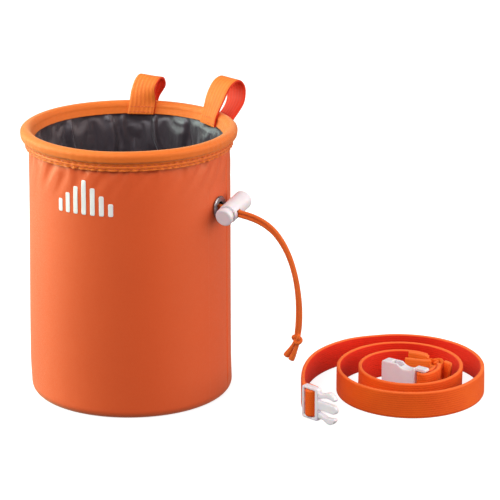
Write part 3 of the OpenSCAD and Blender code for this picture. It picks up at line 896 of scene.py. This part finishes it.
def make_loop_stitches():
    """Two bars of close stitches across each loop's inner leg."""
    stitches = []
    spacing = 2.0
    for loop in LOOPS.values():
        leg_r, leg_z = zip(*loop["path"][:3])
        for height in (145.1, 147.9):
            leg = np.interp(height, leg_z, leg_r)
            for i in range(-3, 4):
                at = np.array([leg - WEBBING_T / 2, height, LOOP_W / 2 + i * spacing])
                point, inward, side = place_loop(np.array([at, at + [-1, 0, 0], at + [0, 0, 1]]), loop)
                stitches.append((point, side - point, inward - point))
    obj = stitch_mesh("loop_thread", stitches, 1.6, 0.2)
    finish_piece(obj, "bag", "thread", "loop_stitches")


make_loop_stitches()

# ---- belt
COIL_AT, COIL_R, COIL_OVAL, COIL_PITCH = (-1.7, -2), 43.2, 1.11, 12.1
COIL_START, COIL_END, COIL_STEPS = -0.3, 1.86, 58
LEAD_PATH = [(-58.7, -36), (-58.9, -30), (-58.9, -22), (-58.4, -12), (-57.3, -2), (-54.8, 9),
             (-50.2, 20.5), (-43.4, 30.8), (-35.1, 39.1), (-26.7, 44.2)]
LEAD_SPLIT = 2  # the lead's first points, up to this one, bend with the male half


def coil_point(turns):
    r, a = COIL_R - COIL_PITCH * turns, -2 * pi * turns
    return COIL_AT[0] + r * cos(a), COIL_AT[1] + COIL_OVAL * r * sin(a)


COIL_PATH = [coil_point(COIL_START + (COIL_END - COIL_START) * i / COIL_STEPS) for i in range(COIL_STEPS + 1)]
MALE_WRAP = [(-8.8, 5.0), (-6.8, 4.2), (-5, 2.95), (-3.3, 2), (-2.7, -0.3), (-1.9, -1.75), (-0.4, -2.3),
             (1, -1.8), (1.8, -0.5), (1.95, 1.6), (1.2, 3.7), (-0.9, 5), (-3.6, 5.3), (-7.4, 5.7)]
MALE_AT, MALE_TURN = (-54.6, -46.6), -45.0
FEMALE_EYE = [(16.6, -9.8), (15.9, -13), (14.2, -16.6), (11.6, -20), (9, -22.2), (6.9, -22.95),
              (5.05, -21.9), (4.6, -20.1), (5.45, -18.5), (7.3, -17.8), (9.4, -17.5), (11.5, -15.7),
              (13, -13), (13.9, -11)]
INNER_STRAP = [(16.7, -8.4), (17.1, -5.4), (17.15, -2.4), (17, 0.7)]
KNOT_CORE = [(17, 0.9), (18.4, 3.3), (15.3, 5.4), (17.4, 8.2), (14.6, 10.6), (11.8, 12.3)]
KNOT_AT = (16.2, 6.6)
# Each end's node, path, seed and tilt
ENDS = {"belt_end_long": ("belt_end_back", [(11.6, 12.5), (8.4, 15.3), (5, 17.5), (1.4, 18.8)], 82, -0.12),
        "belt_end_short": ("belt_end_front", [(12.9, 5), (8.6, 5.3), (3.6, 6.7), (-1.2, 8.4)], 83, -0.14),
        "belt_end_stub": ("belt_end_side", [(20.6, 4), (22, 2.4), (23.4, 0)], 84, 0.1)}


def male_to_belt(path):
    """The male half's own coordinates to the belt's."""
    turned_path = [turned(x, y, MALE_TURN) for x, y in path]
    return [(x + MALE_AT[0], y + MALE_AT[1]) for x, y in turned_path]


def belt_wave(seed, size):
    """A slow twist and small waves for a strap's face, up to size mm."""
    a, b, c = np.random.default_rng(seed).uniform(0, 6, 3)
    return lambda run, across: size * (np.sin(run / 23 + a) * (across - 7.5) / 7.5
                                       + 0.35 * np.sin(run / 7.1 + b) * np.sin(across / 4.4 + c))


def belt_strap(name, path, step, wave=None, lift=None, low=0, width=BELT_W, thickness=BELT_T):
    return place_mesh(strap_mesh(name, path, low, width, thickness, step, wave, lift), belt_frame)


def make_belt():
    coil_path = LEAD_PATH[LEAD_SPLIT:] + COIL_PATH
    coil = belt_strap("belt_coil", coil_path, 1.0, belt_wave(81, 0.25))
    finish_piece(coil, "belt", "webbing", "belt_webbing")
    raise_by = (MALE_H - BELT_W) / 2
    lead_path = (LEAD_PATH[LEAD_SPLIT::-1] + male_to_belt(MALE_WRAP))[::-1]
    total = length_of(even_curve(lead_path, 0.5))
    lead = belt_strap("belt_lead", lead_path, 0.5, None, lambda run: raise_by * fade(total - run, 1.0, 12.0))
    finish_piece(lead, None, "webbing", "male_wrap")
    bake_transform(lead)
    eye_up = (FEMALE_H - BELT_W) / 2
    eye = belt_strap("belt_eye", INNER_STRAP[::-1] + FEMALE_EYE, 0.4, None,
                     lambda run: eye_up * fade(run, 0, 9))
    finish_piece(eye, None, "webbing", "female_wrap", "belt_inner_strap")
    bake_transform(eye)
    for name, (node, path, seed, tilt) in ENDS.items():
        bend = belt_wave(seed, 0.12)
        obj = belt_strap(name, path, 0.6,
                         lambda run, across: bend(run, across) + tilt * (across - BELT_W / 2))
        finish_piece(obj, "belt", "webbing_lit_copy", node, slot="webbing")


make_belt()


def make_belt_knot():
    """Two wraps of the strap, crossed over the place where its ends meet, with the strap folded inside."""
    core = belt_strap("belt_knot_core", KNOT_CORE, 0.5, low=0.6, width=13.2, thickness=WEBBING_T)
    finish_piece(core, "belt", "webbing")
    x0, y0 = KNOT_AT
    for index, (lean, size) in enumerate(((12, 1.0), (-14, 0.9))):
        turns = [pi * i / 8 for i in range(17)]
        ring = [(x0 + 3.6 * size * cos(a), y0 + 5.6 * size * sin(a)) for a in turns]
        obj = strap_mesh(f"belt_knot_wrap_{index + 1}", ring, 1.0, 12.5 - index * 2, WEBBING_T, 0.6)

        def leaned(points):
            p = points.copy()
            p[:, 2] += (p[:, 0] - x0) * tan(radians(lean))
            return belt_frame(p)

        place_mesh(obj, leaned)
        finish_piece(obj, "belt", "webbing_lit_copy", *(["belt_knot"] if index == 0 else []), slot="webbing")


make_belt_knot()


# ---- moulded plastic
def copy_of_node(name, node):
    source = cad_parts[node]
    obj = link(name, source.data.copy())
    obj.matrix_world = source.matrix_world.copy()
    return obj


def moulded(name, node, radius):
    """A copy of a CAD node with its sharp edges rounded as a mould leaves them."""
    obj = copy_of_node(name, node)
    with editing(obj.data) as b:
        bmesh.ops.remove_doubles(b, verts=b.verts, dist=0.004 * MM)
        bmesh.ops.dissolve_limit(b, angle_limit=radians(4), verts=b.verts, edges=b.edges)
    add_modifier(obj, "BEVEL", width=radius * MM, segments=3, limit_method="ANGLE",
                 angle_limit=radians(35), use_clamp_overlap=True)
    bake_modifiers(obj)
    add_modifier(obj, "WEIGHTED_NORMAL", keep_sharp=False)
    return bake_modifiers(obj)


def plump(name, node, passes, puff):
    """A copy of a CAD node with broad soft edges: remeshed finely, smoothed, then grown by puff mm."""
    obj = copy_of_node(name, node)
    add_modifier(obj, "REMESH", mode="VOXEL", voxel_size=0.28 * MM, adaptivity=0.0)
    add_modifier(obj, "SMOOTH", factor=0.5, iterations=passes)
    add_modifier(obj, "DISPLACE", strength=puff * MM, mid_level=0.0)
    return bake_modifiers(obj)


LOCK_EDGE_R = 0.35


def make_plastic():
    for name, node, body in (("lock_barrel", "cord_lock_body", "cord_lock"),
                             ("lock_press", "cord_lock_button", "lock_button")):
        finish_piece(moulded(name, node, LOCK_EDGE_R), body, "plastic", node, slot="white_plastic")
    for name, node, body, passes, puff in (
            ("male_plate", "buckle_male_frame", "male_buckle", 8, 0.04),
            ("prong_upper", "male_arm_upper", "upper_prong", 10, 0.06),
            ("prong_lower", "male_arm_lower", "lower_prong", 10, 0.06),
            ("female_body", "buckle_female", "female_buckle", 12, 0.10)):
        finish_piece(plump(name, node, passes, puff), body, "plastic", node, slot="white_plastic")


make_plastic()

for node, key in (("eyelet", "nickel"), ("eyelet_washer", "nickel"), ("cord_lock_spring", "steel"),
                  ("rim_stiffener", "plastic")):
    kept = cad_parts[node]
    kept.data.materials.clear()
    kept.data.materials.append(MATERIALS[key])

# ---- drawcord
# Each route's points are how far out from the bag's axis and how high
CORD_ROUTE = [(52.1, 111.61), (58, 110.78), (64, 109.93), (70, 109.08), (74, 108.51), (79, 107.3),
              (84.5, 105), (89.5, 101.5), (94, 96.3), (97.5, 90.4), (100.2, 83.8), (102.2, 76.5),
              (103.4, 69.5), (104, 63), (104.1, 57), (103.9, 51.5), (103.4, 47.2), (103.1, 45.0)]
KNOT_R, KNOT_Z, KNOT_SIZE, RING_Z = 103.1, 44.0, 0.86, 111.4
TAIL_ROUTE = [(103.2, 43.8), (102.2, 40.6), (101, 38), (99.5, 35.1), (98, 32.4)]


def tube_mesh(name, points, radius, sides=14, swell=None):
    """A round tube along points in mm, with a rounded cap at each end."""
    p = np.asarray(points, float)
    n = len(p)
    run, forward = run_along(p), headings(p)
    u = np.cross(forward[0], [0, 1, 0.01])
    rows = []
    for i in range(n):
        u = u - forward[i] * np.dot(u, forward[i])
        u /= np.linalg.norm(u)
        w = np.cross(forward[i], u)
        r = radius * (1 if swell is None else swell(run[i] / run[-1]))
        a = 2 * pi * np.arange(sides) / sides
        rows.append(p[i] + r * (np.cos(a)[:, None] * u + np.sin(a)[:, None] * w))
    ends = [p[0] - forward[0] * radius * 0.25, p[-1] + forward[-1] * radius * 0.25]
    verts = np.concatenate([np.array(rows).reshape(-1, 3), ends])
    faces = grid_faces(n, sides, wrap_columns=True)
    first, last = n * sides, n * sides + 1
    for k in range(sides):
        k2 = (k + 1) % sides
        faces.append((first, k2, k))
        faces.append((last, (n - 1) * sides + k, (n - 1) * sides + k2))
    uvs = grid_map(run, np.arange(sides) / sides * (2 * pi * radius))
    return mesh_object(name, verts, faces, np.concatenate([uvs, [[0, 0], [run[-1], 0]]]))


def strand_points(route, s0, s1, free_from=None, step=0.5, late=1):
    """A strand beside its route: s0 mm above it at the start and s1 at the end, changing later where late
    is larger. Past the point free_from the two strands turn about each other."""
    p = np.array(route, float)
    n = len(p) - 1
    heading = headings(p)
    i = np.arange(n + 1)
    s = s0 + (s1 - s0) * (i / n) ** late
    a = np.zeros(n + 1)
    if free_from is not None:
        a = radians(35) * np.sin(np.pi * np.clip((i - free_from) / (n - free_from), 0, 1)) ** 2
    points = np.stack([p[:, 0] - s * heading[:, 1] * np.cos(a), -s * np.sin(a),
                       p[:, 1] + s * heading[:, 0] * np.cos(a)], axis=1)
    return turn_points(even_curve(points, step), EYELET_TURN)


def knot_points(centre, along, across, size):
    """A closed overhand-knot curve lying in the plane of along and across."""
    t = np.linspace(0, 2 * pi, 121)
    u, v, w = np.sin(t) + 2 * np.sin(2 * t), np.cos(t) - 2 * np.cos(2 * t), -np.sin(3 * t)
    depth = np.cross(along, across)
    return centre + size * (v[:, None] * along + 0.92 * u[:, None] * across + 1.1 * w[:, None] * depth)


def across_bag(x, y=0.0):
    """x and y of a vector whose x points out through the eyelet."""
    return turned(x, y, EYELET_TURN)


def make_drawcord():
    half_gap, count, radius = 2.65, 420, CORD_D / 2
    angles = np.radians(np.linspace(EYELET_TURN + half_gap, EYELET_TURN + 360 - half_gap, count))
    ring = np.stack([RING_R * np.cos(angles), RING_R * np.sin(angles), np.full(count, RING_Z)], axis=1)
    finish_piece(tube_mesh("cord_in_casing", ring, radius), "bag", "cord", "drawcord_ring")
    for letter, side in (("a", 1), ("b", -1)):
        points = strand_points(TAIL_ROUTE, side * 0.7, side * TAIL_GAP, None, 0.4)
        tail = tube_mesh(f"cord_tail_{letter}", points, radius, 16,
                         lambda t: 1.0 + 0.62 * float(fade(np.array(t), 0.3, 1.0)))
        finish_piece(tail, "bag", "cord")
    along = np.array([*across_bag(-0.36), -0.93])
    across = np.array([*across_bag(0.83), -0.36]) + 0.35 * np.array([*across_bag(0, -1), 0])
    across -= along * np.dot(across, along)
    across /= np.linalg.norm(across)
    centre = np.array([*across_bag(KNOT_R), KNOT_Z])
    knot = tube_mesh("cord_knot", knot_points(centre, along, across, KNOT_SIZE), radius * 1.12)
    finish_piece(knot, "bag", "cord", "drawcord_knot")
    for letter, side in (("a", 1), ("b", -1)):
        points = strand_points(CORD_ROUTE, side * STRAND_GAP, side * 0.55, 4, late=9)
        strand = tube_mesh(f"cord_strand_{letter}", points, radius)
        finish_piece(strand, "bag", "cord", f"drawcord_strand_{letter}")


make_drawcord()


# ---- print
def make_print():
    """A plain row of bars printed on the front; it follows the cloth."""
    turn, middle, heights = -76.0, 124.0, (7, 11, 15, 19, 15, 11, 7)
    step, width, corner, off_cloth = 5.2, 2.8, 0.9, 0.09  # step and width in degrees, the rest in mm
    low = middle - max(heights) / 2
    columns, rows = 9, 40
    verts, faces, uvs = [], [], []
    for i, tall in enumerate(heights):
        centre = turn + (i - 3) * step
        start = len(verts)
        for a in np.linspace(-1, 1, columns):
            for h in np.linspace(0, 1, rows):
                from_end = min(h, 1 - h) * tall
                squeeze = 1 if from_end > corner else 1 - 0.35 * (1 - from_end / corner) ** 2
                angle = radians(centre + a * width / 2 * squeeze)
                z = low + h * tall
                r = wall_radius(z) + float(wall_shift(np.array(angle), np.array(z))) + off_cloth
                verts.append((r * cos(angle), r * sin(angle), z))
                uvs.append((angle * BAG_R, z))
        faces += [tuple(start + k for k in face) for face in grid_faces(columns, rows)]
    obj = mesh_object("front_print", verts, faces, uvs, solid=False)
    thicken(obj, 0.06)
    finish_piece(obj, "bag", "print", "printed_mark")


make_print()


# ---- floor and light
def make_stage():
    """A floor that curves up behind. It glows white, but only the lamps and the world light the object."""
    n = Nodes("pale_floor")
    n.surface((0.45, 0.45, 0.45), 0.9, Specular_IOR_Level=0.1, Emission_Color=(1, 1, 1),
              Emission_Strength=0.82)
    size, curve, high, gap = 3.0, 1.2, 3.0, 0.02
    profile = line((-size, 0), (size - curve, 0), 12) + arc((size - curve, curve), curve, -90, 0, 16)
    profile += line((size, curve), (size, high), 4)
    verts = []
    for x, z in profile:
        for y in (-size, size):
            a, b = turned(y, x, CAM_TURN)
            verts.append((a / MM, b / MM, z / MM - gap))
    floor = mesh_object("pale_floor", verts, grid_faces(len(profile), 2), solid=False)
    floor.data.materials.append(n.material)
    floor.visible_diffuse = floor.visible_glossy = False


def area_light(name, place, aim, size, power, color=(1, 1, 1)):
    """A lamp in metres and watts. place and aim are turned with the camera."""
    data = bpy.data.lights.new(name, "AREA")
    data.shape, data.size, data.size_y, data.energy, data.color = "RECTANGLE", *size, power, color
    light = link(name, data)
    light.location = (*turned(place[0], place[1], CAM_TURN), place[2])
    direction = Vector((*turned(aim[0], aim[1], CAM_TURN), aim[2])) - light.location
    light.rotation_euler = direction.to_track_quat("-Z", "Y").to_euler()


def make_world(strength):
    world = bpy.data.worlds.new("studio")
    world.use_nodes = True
    background = world.node_tree.nodes["Background"]
    background.inputs[0].default_value = (1, 1, 1, 1)
    background.inputs[1].default_value = strength
    scene.world = world


make_stage()
area_light("key_left", (-1.15, -0.1, 0.55), (0, 0, 0.08), (0.7, 1.1), 10, (0.80, 1.0, 0.86))
area_light("edge_left", (-1.1, 0.4, 0.5), (0, 0, 0.08), (0.8, 1.1), 19, (0.74, 1.0, 0.84))
area_light("rim_right", (1.45, -0.25, 0.5), (0.05, 0, 0.08), (1.4, 1.4), 21, (1.0, 0.94, 0.86))
area_light("top", (0.1, -0.1, 1.5), (0.05, 0, 0), (1.2, 1.2), 3.5)
area_light("front", (-0.6, -1.2, 1.2), (0.05, 0, 0.05), (1.0, 0.8), 15.5)
make_world(0.25)
scene.view_settings.view_transform = "Standard"
